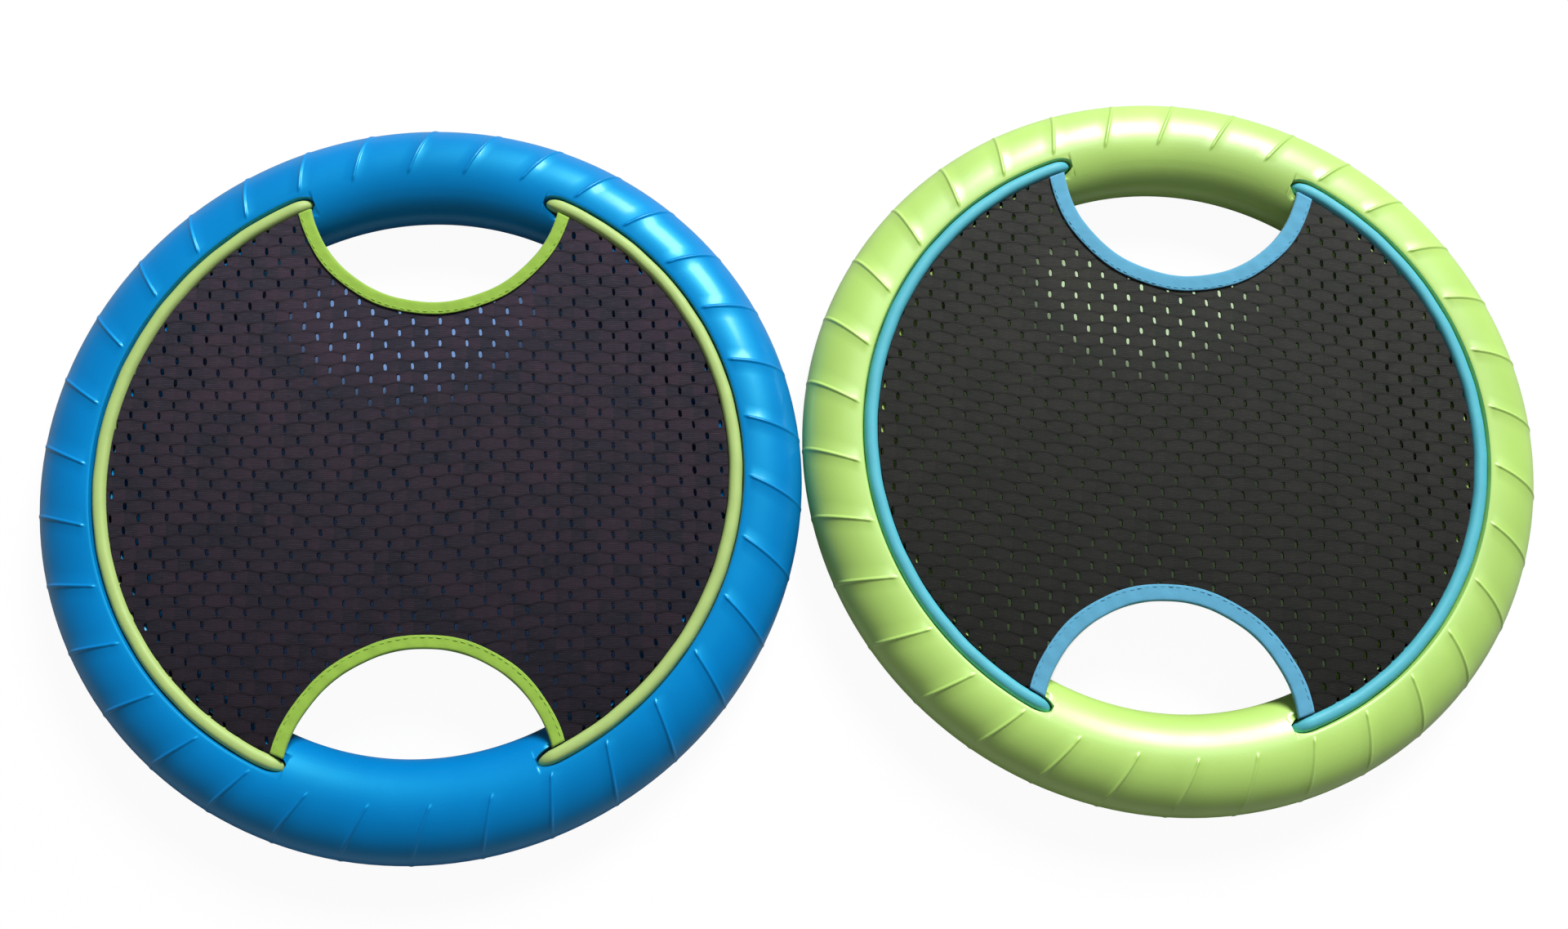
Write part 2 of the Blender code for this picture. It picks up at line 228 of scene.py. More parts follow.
def grid_faces(rows, columns):
    """Four-sided faces of a tube of points that are numbered ring by ring."""
    faces = []
    for i in range(rows - 1):
        for j in range(columns):
            a, b = i * columns, (i + 1) * columns
            k = (j + 1) % columns
            faces.append((a + j, a + k, b + k, b + j))
    return faces


def seat_of(paddles, colour):
    """Matrix that lays a paddle on its place, with its middle plane above the floor."""
    sizes = paddles.sizes
    side = -1 if colour == "blue" else 1
    moved = Matrix.Translation((side * sizes.centre_offset, 0, ground_depth(sizes)))
    return moved @ Matrix.Rotation(getattr(paddles, colour).turn, 4, "Z")


def place(context, name, colour, mesh, surface, nodes):
    """Lay a mesh on its paddle's place and put it in for the CAD nodes."""
    mesh.shade_smooth()
    mesh.materials.append(surface)
    mesh.transform(seat_of(context.scene.paddle_set, colour))
    piece = bpy.data.objects.new(name, mesh)
    context.scene.collection.objects.link(piece)
    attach(piece, "root")
    if nodes:
        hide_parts(*nodes)
    return piece


def face_outward(bm):
    """Make a closed bmesh's faces point outward."""
    bmesh.ops.recalc_face_normals(bm, faces=bm.faces)
    if bm.calc_volume(signed=True) < 0:
        bmesh.ops.reverse_faces(bm, faces=bm.faces)


def closed_mesh(bm, name):
    """Turn a closed bmesh into a mesh that faces outward."""
    face_outward(bm)
    mesh = bpy.data.meshes.new(name)
    bm.to_mesh(mesh)
    bm.free()
    return mesh


def mesh_from(name, points, faces):
    """Make a closed mesh from points and faces."""
    bm = bmesh.new()
    verts = [bm.verts.new(point) for point in points]
    for face in faces:
        bm.faces.new([verts[i] for i in face])
    return closed_mesh(bm, name)


# Materials.

class Graph:
    """Small helper that adds and links a material's nodes."""

    def __init__(self, name):
        self.material = bpy.data.materials.new(name)
        self.material.use_nodes = True
        self.nodes = self.material.node_tree.nodes
        self.links = self.material.node_tree.links
        self.shader = self.nodes["Principled BSDF"]
        self.place = self.add("ShaderNodeTexCoord").outputs["Object"]

    def add(self, kind, **values):
        """Add a node and set its properties."""
        node = self.nodes.new(kind)
        for key, value in values.items():
            setattr(node, key, value)
        return node

    def wire(self, source, target):
        """Link one socket to another."""
        self.links.new(source, target)

    def noise(self, scale, detail=2.0, distortion=0.0, vector=None):
        """Noise value over the object's own coordinates, or over a given vector."""
        node = self.add("ShaderNodeTexNoise")
        node.inputs["Scale"].default_value = scale
        node.inputs["Detail"].default_value = detail
        node.inputs["Distortion"].default_value = distortion
        self.wire(self.place if vector is None else vector, node.inputs["Vector"])
        return node.outputs["Fac"]

    def pattern(self, vector, factors, detail):
        """Noise value over a given vector that is stretched by a factor for each axis."""
        stretched = self.add("ShaderNodeMapping")
        stretched.inputs["Scale"].default_value = factors
        self.wire(vector, stretched.inputs["Vector"])
        return self.noise(1.0, detail, vector=stretched.outputs["Vector"])

    def distance(self, point):
        """Level distance from an upright axis through a point."""
        flat = self.add("ShaderNodeVectorMath", operation="MULTIPLY")
        flat.inputs[1].default_value = (1, 1, 0)
        self.wire(self.place, flat.inputs[0])
        node = self.add("ShaderNodeVectorMath", operation="DISTANCE")
        node.inputs[1].default_value = (point[0], point[1], 0)
        self.wire(flat.outputs[0], node.inputs[0])
        return node.outputs["Value"]

    def spread(self, value, low, high, from_low=0.0, from_high=1.0):
        """Map a value to another range."""
        node = self.add("ShaderNodeMapRange")
        node.inputs["From Min"].default_value = from_low
        node.inputs["From Max"].default_value = from_high
        node.inputs["To Min"].default_value = low
        node.inputs["To Max"].default_value = high
        self.wire(value, node.inputs["Value"])
        return node.outputs["Result"]

    def math(self, operation, first, second):
        """Combine two values, or a value and a number."""
        node = self.add("ShaderNodeMath", operation=operation)
        for socket, value in zip(node.inputs, (first, second)):
            if isinstance(value, (int, float)):
                socket.default_value = value
            else:
                self.wire(value, socket)
        return node.outputs[0]

    def blend(self, factor, first, second):
        """Mix two colours, each a socket or three numbers."""
        node = self.add("ShaderNodeMix", data_type="RGBA")
        self.wire(factor, node.inputs["Factor"])
        # The node shares names between its kinds of data: inputs 6 and 7 and output 2 are
        # the colours.
        for socket, value in ((node.inputs[6], first), (node.inputs[7], second)):
            if isinstance(value, bpy.types.NodeSocket):
                self.wire(value, socket)
            else:
                socket.default_value = (*value, 1)
        return node.outputs[2]

    def bump(self, height, distance, strength=1.0, after=None):
        """Bump from a height value, on top of another bump where one is given."""
        node = self.add("ShaderNodeBump")
        node.inputs["Strength"].default_value = strength
        node.inputs["Distance"].default_value = distance
        self.wire(height, node.inputs["Height"])
        if after:
            self.wire(after, node.inputs["Normal"])
        return node.outputs["Normal"]

    def finish(self, colour, roughness, normal, **sockets):
        """Link the shader's main inputs and set its constants."""
        self.wire(colour, self.shader.inputs["Base Color"])
        self.wire(roughness, self.shader.inputs["Roughness"])
        if normal:
            self.wire(normal, self.shader.inputs["Normal"])
        for key, value in sockets.items():
            self.shader.inputs[key.replace("_", " ")].default_value = value
        return self.material


def shade(colour, factor):
    """A colour made darker or lighter by a factor."""
    return tuple(min(1.0, part * factor) for part in colour)


def moulded_plastic(name, colour, shine):
    """Satin moulded plastic: faint flow marks, handling haze and a fine skin."""
    g = Graph(name)
    flow = g.noise(14, 3, distortion=0.6)
    base = g.blend(g.spread(flow, 0, 1, 0.35, 0.65), shade(colour, 0.93), shade(colour, 1.06))
    haze = g.noise(45, 4)
    roughness = g.spread(haze, 0.40, 0.50, 0.3, 0.7)
    skin = g.bump(g.noise(1400, 2), 0.00004, 0.5)
    dents = g.bump(g.noise(60, 2), 0.0004, 0.12, skin)
    return g.finish(base, roughness, dents, Specular_IOR_Level=1.0, Specular_Tint=(*shine, 1),
                    Coat_Weight=0.25, Coat_Roughness=0.2)


def bead_plastic(name, colour):
    """Softer, duller plastic of the beads, with faint lines along the extrusion."""
    g = Graph(name)
    tone = g.noise(120, 3)
    base = g.blend(g.spread(tone, 0, 1, 0.3, 0.7), shade(colour, 0.94), shade(colour, 1.04))
    roughness = g.spread(g.noise(300, 2), 0.46, 0.58, 0.3, 0.7)
    skin = g.bump(g.noise(900, 3), 0.00006, 0.5)
    return g.finish(base, roughness, skin, Specular_IOR_Level=0.35)


def tape_cloth(name, colour):
    """Woven binding tape: fine twill, thread-to-thread colour and a dull sheen."""
    g = Graph(name)
    diagonal = g.add("ShaderNodeMapping")
    diagonal.inputs["Rotation"].default_value = (0, 0, math.radians(40))
    g.wire(g.place, diagonal.inputs["Vector"])
    twill = g.add("ShaderNodeTexWave", bands_direction="X")
    twill.inputs["Scale"].default_value = 420
    twill.inputs["Distortion"].default_value = 1.2
    g.wire(diagonal.outputs["Vector"], twill.inputs["Vector"])
    threads = g.noise(900, 2)
    tone = g.math("ADD", g.math("MULTIPLY", twill.outputs["Fac"], 0.5),
                  g.math("MULTIPLY", threads, 0.5))
    base = g.blend(g.spread(tone, 0, 1, 0.25, 0.75), shade(colour, 0.94), shade(colour, 1.03))
    worn = g.blend(g.spread(g.noise(55, 3), 0, 0.35, 0.45, 0.75), base, shade(colour, 0.82))
    roughness = g.spread(threads, 0.72, 0.88)
    weave = g.bump(tone, 0.00016, 0.4)
    puckers = g.bump(g.noise(160, 2), 0.0009, 0.35, weave)
    return g.finish(worn, roughness, puckers, Specular_IOR_Level=0.2, Sheen_Weight=0.25)


def thread_cloth(name, colour):
    """Sewing thread with the twist of its strands."""
    g = Graph(name)
    twist = g.noise(2200, 2)
    base = g.blend(twist, shade(colour, 0.95), shade(colour, 1.1))
    roughness = g.spread(twist, 0.6, 0.8)
    return g.finish(base, roughness, g.bump(twist, 0.0001, 0.6), Specular_IOR_Level=0.3)


# Pitch of the holes along a row, pitch of the rows, swing of their edges, and pitch of the
# yarns in millimetres of the knit's own marks.
HOLE_PITCH = 10.7 * MM
ROW_PITCH = 4.66 * MM
ROW_SWING = 0.40 * MM
YARN_PITCH = 0.56


def knit_cloth(name, colour, patch, yarn, crease):
    """Knitted net: yarns along the rows, tone by stitch, and painted shade along the wavy crease
    between rows, on the holes' walls and toward the front (-Y) side.
    """
    g = Graph(name)
    marks = g.add("ShaderNodeAttribute", attribute_name="knit").outputs["Vector"]
    parts = g.add("ShaderNodeSeparateXYZ")
    g.wire(marks, parts.inputs[0])
    # The third mark, depth, is where the holes' walls get painted shade.
    along, up, depth = parts.outputs
    row = g.math("ROUND", g.math("DIVIDE", up, ROW_PITCH / MM), 0)
    level = g.math("ABSOLUTE", g.math("SUBTRACT", up, g.math("MULTIPLY", row, ROW_PITCH / MM)), 0)
    cell = g.math("SUBTRACT", g.math("DIVIDE", along, HOLE_PITCH / MM),
                  g.math("MULTIPLY", g.math("MODULO", g.math("ABSOLUTE", row, 0), 2), 0.5))
    swing = g.math("MULTIPLY", g.math("COSINE", g.math("MULTIPLY", cell, 2 * math.pi), 0),
                   -ROW_SWING / MM)
    edge = g.math("ADD", swing, ROW_PITCH / 2 / MM)
    away = g.math("ABSOLUTE", g.math("SUBTRACT", level, edge), 0)

    spot = g.add("ShaderNodeCombineXYZ")
    g.wire(g.math("ROUND", cell, 0), spot.inputs[0])
    g.wire(row, spot.inputs[1])
    chance = g.add("ShaderNodeTexWhiteNoise", noise_dimensions="2D")
    g.wire(spot.outputs[0], chance.inputs["Vector"])
    brick = chance.outputs["Value"]

    streaks = g.pattern(marks, (0.22, 2.6, 0), 3)
    clouds = g.pattern(marks, (0.035, 0.05, 0), 2)
    wander = g.math("MULTIPLY", g.pattern(marks, (0.1, 0.3, 0), 2), 9)
    yarns = g.math("SINE", g.math("ADD", g.math("MULTIPLY", up, 2 * math.pi / YARN_PITCH), wander), 0)
    strength = g.spread(g.pattern(marks, (0.09, 0.16, 0), 2), 0.1, 1.0, 0.38, 0.66)
    # Painted shade: a dark line along each row's wavy crease, and a wider darkening toward that edge.
    fold = g.math("MULTIPLY", g.spread(away, 1, 0, 0.08, 0.45), strength)
    row_shade = g.spread(away, 0.24, 0, 0.1, 1.3)

    tone = g.math("ADD", g.math("MULTIPLY", brick, 0.45), g.math("MULTIPLY", clouds, 0.9))
    base = g.blend(g.spread(tone, 0, 1, 0.40, 0.95), colour, patch)
    drawn = g.blend(g.math("MULTIPLY", g.spread(streaks, 0, 1, 0.48, 0.75),
                           g.spread(yarns, 0.2, 1, -1, 1)), base, yarn)
    # Painted shade toward each row's edge, then along the crease line.
    rounded = g.blend(row_shade, drawn, shade(colour, 0.3))
    folded = g.blend(g.math("MULTIPLY", fold, crease), rounded, shade(colour, 0.2))
    # Painted shade on the holes' walls, darkest at their bottoms.
    with_hole_shade = g.blend(g.spread(depth, 0, 0.9), folded, shade(colour, 0.12))
    # Painted shade: the net darker toward its front (-Y) side.
    with_front_shade = g.blend(g.spread(up, 0.37, 1.0, -105, 105), (0, 0, 0), with_hole_shade)
    roughness = g.spread(streaks, 0.80, 0.92)
    fine = g.bump(g.math("ADD", g.math("MULTIPLY", yarns, 0.4), streaks), 0.00010, 0.7)
    pores = g.spread(g.pattern(marks, (2.2, 3.4, 0), 1), 0.86, 1.0, 0.42, 0.58)
    g.wire(pores, g.shader.inputs["Alpha"])
    return g.finish(with_front_shade, roughness, fine, Specular_IOR_Level=0.1)


# Rim.

def rib_profile(offset, sizes):
    """Share of a rib's height at a distance across it."""
    share = np.clip(np.abs(offset) / sizes.rib_half_width, 0, 1)
    return 0.5 + 0.5 * np.cos(math.pi * share)


def handle_share(look, turn):
    """Rise from 0 at the bead's ends to 1 over the far handle, where the ribs start earlier."""
    away = abs(turn % (2 * math.pi) - math.pi / 2)
    return float(smooth_step(-look.bead_end + math.radians(1.5), -math.radians(12), -away))


def rib_run(v, share):
    """Share of a rib's height along the section, for a share of the far handle's early start."""
    start, end = math.radians(96 + 8 * share), math.radians(-74)
    rise = smooth_step(-start, -start + math.radians(6), -v)
    knob = 0.22 * np.exp(-((v - start + math.radians(6)) / math.radians(3.5)) ** 2)
    swell = 0.75 + 0.25 * smooth_step(-start, -math.radians(68), -v) + knob
    fall = smooth_step(end, end + math.radians(14), v)
    low = 0.35 + 0.65 * smooth_step(math.radians(12), math.radians(48), v)
    return rise * swell * fall * low


def end_width(share):
    """Share of the full width at a share of the way along a bullet-shaped end."""
    return (1 - share ** BEAD_BLUNT) ** 0.5


def groove_columns(sizes, look):
    """Angle and width share of each column of points on the rim's inner half."""
    middle = bead_radius(sizes)
    end = math.pi / 2 - look.bead_end + sizes.gap / middle
    taper = BEAD_TAPER * sizes.bead_half_width / middle
    half = end - taper
    steps = 110
    columns = [(half * (2 * i / steps - 1), 1.0) for i in range(steps + 1)]
    for share in END_SHARES:
        for sign in (-1, 1):
            columns.append((sign * (half + share * taper), end_width(share)))
    for sign in (-1, 1):
        columns.append((sign * end, 0.0))
    columns.sort()
    opposite = [(turn + math.pi, width) for turn, width in columns]
    handle_half = math.pi / 2 - end
    shares = [(2 * i / 48 - 1) * 0.985 for i in range(49)]
    top = [(math.pi / 2 + handle_half * share, 0.0) for share in shares]
    bottom = [(1.5 * math.pi + handle_half * share, 0.0) for share in shares]
    return columns + top + opposite + bottom


# Rings through the groove: place across it where it is open, place where it is closed, and
# depth. A depth of None lies on the rim's own surface, and "lip" just under it.
GROOVE_SHAPE = (
    (-1.20, -1.40, None), (-1.05, -1.06, "lip"), (-1.00, -0.72, 0.10), (-1.00, -0.36, 1.0),
    (1.00, 0.00, 1.0), (1.00, 0.34, 0.34), (1.05, 0.68, 0.14), (1.17, 1.00, "lip"),
    (1.33, 1.33, None),
)
# On the far handle the rings are spread by section angle instead.
HANDLE_V, RING_STEP = math.radians(105.5), math.radians(2.0)
# How far the inner lip is lowered under a tape, and each lip's rounding below the surface.
SEAT_DROP, LIP_DROP = 1.1 * MM, 0.14 * MM


def groove_rings(sizes, look, columns):
    """Rings of points through the groove, from its inner lip to its rounded outer edge."""
    inner = sizes.net_radius - sizes.net_thickness - sizes.gap
    outer = bead_radius(sizes) + sizes.bead_half_width + sizes.gap
    floor = sizes.net_height - sizes.bead_drop - sizes.bead_half_height - sizes.gap
    middle, half = (inner + outer) / 2, (outer - inner) / 2
    rings = []
    for k, (across, closed, depth) in enumerate(GROOVE_SHAPE):
        edge = math.copysign(1, across)
        handle_v = HANDLE_V + RING_STEP * (len(GROOVE_SHAPE) - 1 - k)
        ring = []
        for turn, width in columns:
            place_at = across * width + closed * (1 - width)
            if depth is not None:
                shut = (closed - across + edge) * (1 - width) ** 8
                place_at = edge * width + across - edge + shut
            share = handle_share(look, turn)
            radius = (middle + half * place_at) * (1 - share)
            radius += (sizes.rim_radius + sizes.rim_half_width * math.cos(handle_v)) * share
            surface = float(oval_height(sizes, radius))
            side = math.copysign(1, math.cos(turn))
            tape = crossing(look, look.tape_outer, sizes.net_radius, side)
            tape_end = crossing(look, look.tape_inner, sizes.net_radius, side)
            folded = abs((turn + math.pi / 2) % math.pi - math.pi / 2)
            seat = float(smooth_step(tape - math.radians(4), tape - math.radians(2), folded))
            seat *= 1 - float(smooth_step(tape_end, tape_end + math.radians(1.3), folded))
            drop = SEAT_DROP * seat * width if across < -0.9 else 0.0
            z = surface - drop
            if depth == "lip":
                z -= LIP_DROP * min(1.0, 2 * width)
            elif depth is not None and width > 0:
                z += (floor - z) * depth * float(smooth_step(0.0, 0.5, width))
            ring.append(polar(radius, turn, z))
        rings.append(ring)
    return rings


def join_uneven(bm, first, second):
    """Join two closed rings whose points lie at different angles, going round both."""
    def bearing(vert):
        return math.atan2(vert.co.y, vert.co.x) % (2 * math.pi)

    first = sorted(first, key=bearing)
    second = sorted(second, key=bearing)
    turns_a = [bearing(vert) for vert in first] + [bearing(first[0]) + 2 * math.pi]
    turns_b = [bearing(vert) for vert in second] + [bearing(second[0]) + 2 * math.pi]
    i = j = 0
    while i < len(first) or j < len(second):
        a, b = first[i % len(first)], second[j % len(second)]
        if j == len(second) or (i < len(first) and turns_a[i + 1] <= turns_b[j + 1]):
            bm.faces.new((a, first[(i + 1) % len(first)], b))
            i += 1
        else:
            bm.faces.new((a, second[(j + 1) % len(second)], b))
            j += 1


def join_even(bm, first, second):
    """Join two closed rings point by point."""
    count = len(first)
    for i in range(count):
        j = (i + 1) % count
        bm.faces.new((first[i], first[j], second[j], second[i]))


def rib_offsets(sizes):
    """Angles of the columns of one rib's share of the rim, counted from the rib's crest."""
    spacing = 2 * math.pi / sizes.rib_count
    across = sizes.rib_half_width / (sizes.rim_radius + sizes.rim_half_width)
    near = [across * share for share in (-1.0, -0.75, -0.5, -0.25, 0, 0.25, 0.5, 0.75, 1.0)]
    room = spacing - 2 * across
    far = [across + room * share for share in (0.2, 0.4, 0.6, 0.8)]
    return near + far


def rim_mesh(sizes, look, name):
    """Loft the rim: ribbed outside, grooved inside, flat underneath."""
    bm = bmesh.new()
    ground = ground_depth(sizes)
    spacing = 2 * math.pi / sizes.rib_count
    offsets = np.array(rib_offsets(sizes))
    profile = rib_profile(offsets * (sizes.rim_radius + sizes.rim_half_width), sizes)
    # Section angles of the outer rings: closest where the ribs start.
    outer_rows = np.concatenate((np.linspace(96.5, 76, 14), np.linspace(72, -90, 38)))
    rings = []
    for row in outer_rows:
        ring = []
        for k in range(sizes.rib_count):
            crest = look.rib_phase + k * spacing
            crest += sizes.rib_crowding * math.sin(2 * crest)
            for offset, height in zip(offsets, profile):
                share = handle_share(look, crest + offset)
                v = math.radians(row + 0.4 * share * max(0.0, row - 76))
                turn = crest + offset - sizes.rib_slant * math.cos(v)
                lift = sizes.rib_height * height * float(rib_run(v, share))
                radius = sizes.rim_radius + (sizes.rim_half_width + lift) * math.cos(v)
                z = max(-ground, (sizes.rim_half_height + lift) * math.sin(v))
                ring.append(bm.verts.new(polar(radius, turn, z)))
        rings.append(ring)
    for first, second in zip(rings, rings[1:]):
        join_even(bm, first, second)

    columns = groove_columns(sizes, look)
    inner = []
    for v in np.radians(np.linspace(-94, -231, 37)):
        radius = sizes.rim_radius + sizes.rim_half_width * math.cos(v)
        z = max(-ground, sizes.rim_half_height * math.sin(v))
        inner.append([bm.verts.new(polar(radius, column[0], z)) for column in columns])
    for ring in groove_rings(sizes, look, columns):
        inner.append([bm.verts.new(point) for point in ring])
    for first, second in zip(inner, inner[1:]):
        join_even(bm, first, second)
    join_uneven(bm, rings[0], inner[-1])
    join_uneven(bm, rings[-1], inner[0])
    return closed_mesh(bm, name)


class PADDLES_OT_rims(bpy.types.Operator):
    """Build the two moulded rims with their ribs and grooves"""

    bl_idname = "paddles.rims"
    bl_label = "Rims"

    def execute(self, context):
        paddles = context.scene.paddle_set
        for colour in COLOURS:
            look = getattr(paddles, colour)
            name = colour + "_moulded_rim"
            surface = moulded_plastic(colour + "_rim_plastic", look.rim_tint, look.shine_tint)
            mesh = rim_mesh(paddles.sizes, look, name)
            piece = place(context, name, colour, mesh, surface, [colour + "_rim"])
            mesh.set_sharp_from_angle(angle=math.radians(50))
        return {"FINISHED"}


# Beads.

def bead_mesh(sizes, look, side, name):
    """Sweep the bead along its groove, with bullet-shaped ends."""
    end = math.pi / 2 - look.bead_end
    radius = bead_radius(sizes)
    height = sizes.net_height - sizes.bead_drop + 0.2 * MM
    taper = BEAD_TAPER * sizes.bead_half_width / radius
    path = [(end - taper) * (2 * i / 120 - 1) for i in range(121)]
    scales = [1.0] * len(path)
    for share in END_SHARES:
        scale = end_width(share)
        path = [-(end - taper) - taper * share] + path + [(end - taper) + taper * share]
        scales = [scale] + scales + [scale]
    ring_points = 28
    points = []
    for turn, scale in zip(path, scales):
        wobble = 0.00006 * math.sin(turn * 31) + 0.00004 * math.sin(turn * 53 + 1)
        for k in range(ring_points):
            v = 2 * math.pi * k / ring_points
            across = math.copysign(abs(math.cos(v)) ** 0.78, math.cos(v))
            up = math.copysign(abs(math.sin(v)) ** 0.78, math.sin(v))
            lift = up * sizes.bead_half_height * scale - 0.9 * MM * (1 - scale)
            flat = (sizes.bead_half_width + 0.18 * MM) * scale * across
            points.append(polar(radius + flat + wobble * scale, turn + side, height + lift))
    faces = grid_faces(len(path), ring_points)
    faces.append(tuple(range(ring_points)))
    last = (len(path) - 1) * ring_points
    faces.append(tuple(last + k for k in range(ring_points)))
    return mesh_from(name, points, faces)


class PADDLES_OT_beads(bpy.types.Operator):
    """Build the four plastic beads that hold the nets in the rims' grooves"""

    bl_idname = "paddles.beads"
    bl_label = "Beads"

    def execute(self, context):
        paddles = context.scene.paddle_set
        for colour in COLOURS:
            look = getattr(paddles, colour)
            surface = bead_plastic(colour + "_bead_plastic", look.bead_tint)
            for side, turn in SIDES.items():
                name = f"{colour}_{side}_retaining_bead"
                mesh = bead_mesh(paddles.sizes, look, turn, name)
                piece = place(context, name, colour, mesh, surface, [f"{colour}_bead_{side}"])
        return {"FINISHED"}


# Net.

HOLE_ANGLES = (-22, 22, 52, 73, 90, 107, 128, 158, 202, 232, 253, 270, 287, 308)
# Rings of a brick from the bottom of its hole to its border: half width and half length of
# the hole, share of the way to the border, and height.
BRICK_RINGS = (
    (0.82, 1.62, 0.0, -0.60),
    (0.86, 1.68, 0.0, -0.06),
    (0.86, 1.68, 0.14, 0.01),
    (0.86, 1.68, 0.90, 0.02),
    (0.86, 1.68, 1.0, -0.04),
)


def row_edge(x):
    """Height of a row's wavy upper edge above the middle of its holes."""
    return ROW_PITCH / 2 - ROW_SWING * math.cos(2 * math.pi * x / HOLE_PITCH)


def brick_border():
    """Border of one brick of the knit, with the height share of each point's crease."""
    half, step = HOLE_PITCH / 2, 0.95 * MM
    upper = [(half * share, row_edge(half * share)) for share in (1, 0.5, 0, -0.5, -1)]
    lower = [(-x, -y) for x, y in upper]
    right, left = [(half, -step), (half, step)], [(-half, step), (-half, -step)]
    points = right + upper + left + lower
    crease = [0, 0] + [1] * 5 + [0, 0] + [1] * 5
    return points, crease


def knit_drift(x, y):
    """Small sideways and lengthways wander of the knit's rows."""
    dx = 0.8 * MM * np.sin(y / (31 * MM) + 0.6) * np.cos(x / (47 * MM))
    dy = 1.3 * MM * np.sin(x / (25 * MM) + 1.4 * np.sin(y / (38 * MM)))
    return x + dx, y + dy


def brick_points(row, column, jitter):
    """Rings of points of one brick: place in the knit, and height with a mark for painted shade at
    the bottom of the hole.
    """
    cx = (column + (row % 2) / 2) * HOLE_PITCH
    cy = row * ROW_PITCH
    tilt, wide, tall = jitter
    border, crease = brick_border()
    places, heights = [], []
    for half_width, half_length, share, z in BRICK_RINGS:
        for turn, (bx, by), fold in zip(HOLE_ANGLES, border, crease):
            c, n = math.cos(math.radians(turn)), math.sin(math.radians(turn))
            hy = half_length * MM * tall * math.copysign(abs(n) ** 0.85, n)
            hx = half_width * MM * wide * math.copysign(abs(c) ** 0.85, c) + tilt * hy
            x, y = hx + (bx - hx) * share, hy + (by - hy) * share
            places.append((cx + x, cy + y))
            level = z if share < 1 or fold else 0.0
            # The second value marks the hole's bottom ring, where the painted shade on the walls is
            # darkest.
            heights.append((level * MM, 1.0 if z < -0.5 else 0.0))
    return places, heights


def keep_inside(points, sizes, look):
    """Pull points that lie beyond the net's edge back onto it."""
    edge = look.tape_inner + 1.2 * MM
    x, y = points[:, 0].copy(), points[:, 1].copy()
    for _ in range(3):
        for sign in (1, -1):
            centre = tape_point(look, sign, 0.0, 0.0, 0.0)
            dx, dy = x - centre.x, y - centre.y
            distance = np.hypot(dx, dy)
            push = np.where(distance < edge, edge / np.maximum(distance, 1e-6), 1.0)
            x, y = dx * push + centre.x, dy * push + centre.y
        distance = np.hypot(x, y)
        pull = np.where(distance > sizes.net_radius, sizes.net_radius / distance, 1.0)
        x, y = x * pull, y * pull
    return np.stack((x, y), axis=1)


def net_mesh(sizes, look, name, seed):
    """Tile the knit with bricks that each have a hole, and trim them to the net's outline."""
    chance = np.random.default_rng(seed)
    rows = int(sizes.net_radius / ROW_PITCH) + 2
    columns = int(sizes.net_radius / HOLE_PITCH) + 2
    count = len(HOLE_ANGLES)
    strips = grid_faces(len(BRICK_RINGS), count)
    flat, heights, faces = [], [], []
    for row in range(-rows, rows + 1):
        for column in range(-columns, columns + 1):
            if math.hypot(column * HOLE_PITCH, row * ROW_PITCH) > sizes.net_radius + HOLE_PITCH:
                continue
            jitter = (chance.normal(-0.08, 0.04), 1 + chance.normal(0, 0.07),
                      1 - abs(chance.normal(0, 0.05)))
            places, levels = brick_points(row, column, jitter)
            start = len(flat)
            flat += places
            heights += levels
            faces += [tuple(start + i for i in face) for face in strips]
    flat, heights = np.array(flat), np.array(heights)
    drifted = np.stack(knit_drift(flat[:, 0], flat[:, 1]), axis=1)
    inside = keep_inside(drifted, sizes, look)
    moved = np.hypot(*(inside - drifted).T) > 1e-7
    faces = [face for face in faces if not all(moved[i] for i in face)]
    points = np.column_stack((inside, sizes.net_height + heights[:, 0]))
    # The knit marks hold the place in millimetres and the mark for the holes' painted shade.
    knit = np.column_stack(((flat + inside - drifted) / MM, heights[:, 1]))
    mesh = bpy.data.meshes.new(name)
    mesh.from_pydata(points.tolist(), [], faces)
    marks = mesh.attributes.new("knit", "FLOAT_VECTOR", "POINT")
    marks.data.foreach_set("vector", knit.ravel())
    bm = bmesh.new()
    bm.from_mesh(mesh)
    near = 0.04 * MM
    bmesh.ops.remove_doubles(bm, verts=bm.verts, dist=near)
    bmesh.ops.dissolve_degenerate(bm, edges=bm.edges, dist=near)
    loose = [vert for vert in bm.verts if not vert.link_faces]
    bmesh.ops.delete(bm, geom=loose, context="VERTS")
    bend_border(bm, sizes, look)
    bm.to_mesh(mesh)
    bm.free()
    return mesh


def bend_border(bm, sizes, look):
    """Bend the net's border down into the grooves beside the beads."""
    limits = {side: crossing(look, look.tape_outer, sizes.net_radius, side) - math.radians(1)
              for side in (1, -1)}
    rim_edges = []
    for edge in bm.edges:
        if len(edge.link_faces) != 1:
            continue
        ends = [vert.co for vert in edge.verts]
        if all(math.hypot(p.x, p.y) > sizes.net_radius - 0.03 * MM for p in ends):
            bearings = [abs(math.atan2(p.y, abs(p.x))) for p in ends]
            if max(bearings) < limits[1 if ends[0].x > 0 else -1]:
                rim_edges.append(edge)
    # Built edge by edge, because bmesh's extrude operator makes faces in no fixed order.
    low = sizes.net_height + sizes.net_thickness / 2 - BORDER_DEPTH
    lowered = {}
    for edge in rim_edges:
        loop = edge.link_loops[0]
        near, far = loop.vert, loop.link_loop_next.vert
        for vert in (near, far):
            if vert not in lowered:
                lowered[vert] = bm.verts.new((vert.co.x, vert.co.y, low), vert)
        bm.faces.new((far, near, lowered[near], lowered[far]), loop.face)


